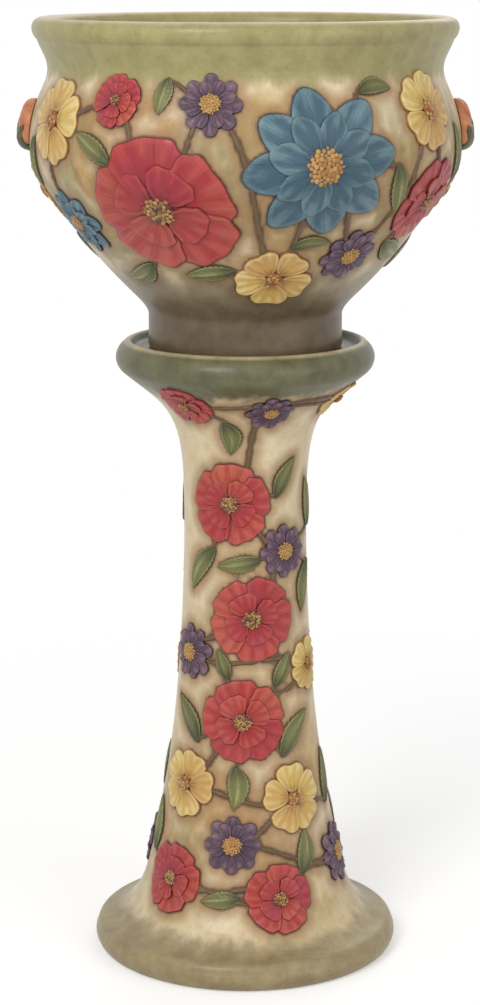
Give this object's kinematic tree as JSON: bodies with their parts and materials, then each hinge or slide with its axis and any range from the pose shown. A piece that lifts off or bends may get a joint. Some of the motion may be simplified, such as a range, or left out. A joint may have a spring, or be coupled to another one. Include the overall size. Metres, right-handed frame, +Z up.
{
  "type": "jardiniere on stand",
  "caption": "Glazed earthenware jardiniere with a rolled lip and two bud lugs, standing on a tall hollow column stand, both with raised flowers and leaves.",
  "frame": {"origin": "centre of the stand's base, on the floor", "axes": "+Z up along the common axis of stand and bowl; the front looks along -Y, and the lugs are at +X and -X"},
  "size_m": [0.3626, 0.3458, 0.765],
  "materials": {
    "cream_glaze": "satin cream glaze, olive on the rims",
    "lug_glaze": "satin orange-red glaze",
    "red_glaze": "satin red glaze",
    "blue_glaze": "satin blue glaze",
    "yellow_glaze": "satin ochre-yellow glaze",
    "purple_glaze": "satin purple glaze",
    "leaf_glaze": "satin olive-green glaze"
  },
  "bodies": {
    "stand": {"stand": "cream_glaze", "collar_poppy_front": "red_glaze", "collar_aster_front": "purple_glaze", "collar_primrose_front": "yellow_glaze", "column_poppy_high_front": "red_glaze", "column_aster_high_front": "purple_glaze", "column_poppy_mid_front": "red_glaze", "column_aster_mid_front": "purple_glaze", "column_primrose_mid_front": "yellow_glaze", "column_poppy_low_front": "red_glaze", "base_primrose_left_front": "yellow_glaze", "base_primrose_right_front": "yellow_glaze", "base_aster_left_front": "purple_glaze", "base_poppy_right_front": "red_glaze", "base_aster_right_front": "purple_glaze", "base_poppy_left_front": "red_glaze", "stand_leaves_front": "leaf_glaze", "collar_poppy_back": "red_glaze", "collar_aster_back": "purple_glaze", "collar_primrose_back": "yellow_glaze", "column_poppy_high_back": "red_glaze", "column_aster_high_back": "purple_glaze", "column_poppy_mid_back": "red_glaze", "column_aster_mid_back": "purple_glaze", "column_primrose_mid_back": "yellow_glaze", "column_poppy_low_back": "red_glaze", "base_primrose_left_back": "yellow_glaze", "base_primrose_right_back": "yellow_glaze", "base_aster_left_back": "purple_glaze", "base_poppy_right_back": "red_glaze", "base_aster_right_back": "purple_glaze", "base_poppy_left_back": "red_glaze", "stand_leaves_back": "leaf_glaze"},
    "bowl": {"bowl": "cream_glaze", "lug_left": "lug_glaze", "lug_right": "lug_glaze", "dahlia_large_front": "blue_glaze", "dahlia_small_front": "blue_glaze", "poppy_large_front": "red_glaze", "poppy_small_front": "red_glaze", "poppy_bud_front": "red_glaze", "primrose_left_front": "yellow_glaze", "primrose_low_front": "yellow_glaze", "primrose_right_front": "yellow_glaze", "primrose_side_front": "yellow_glaze", "aster_high_front": "purple_glaze", "aster_low_front": "purple_glaze", "bowl_leaves_front": "leaf_glaze", "dahlia_large_back": "blue_glaze", "dahlia_small_back": "blue_glaze", "poppy_large_back": "red_glaze", "poppy_small_back": "red_glaze", "poppy_bud_back": "red_glaze", "primrose_left_back": "yellow_glaze", "primrose_low_back": "yellow_glaze", "primrose_right_back": "yellow_glaze", "primrose_side_back": "yellow_glaze", "aster_high_back": "purple_glaze", "aster_low_back": "purple_glaze", "bowl_leaves_back": "leaf_glaze"}
  },
  "joints": [
    {"name": "bowl_lift", "type": "slide", "parent": "stand", "child": "bowl", "axis": [0, 0, 1], "range_m": [0, 0.15]}
  ]
}
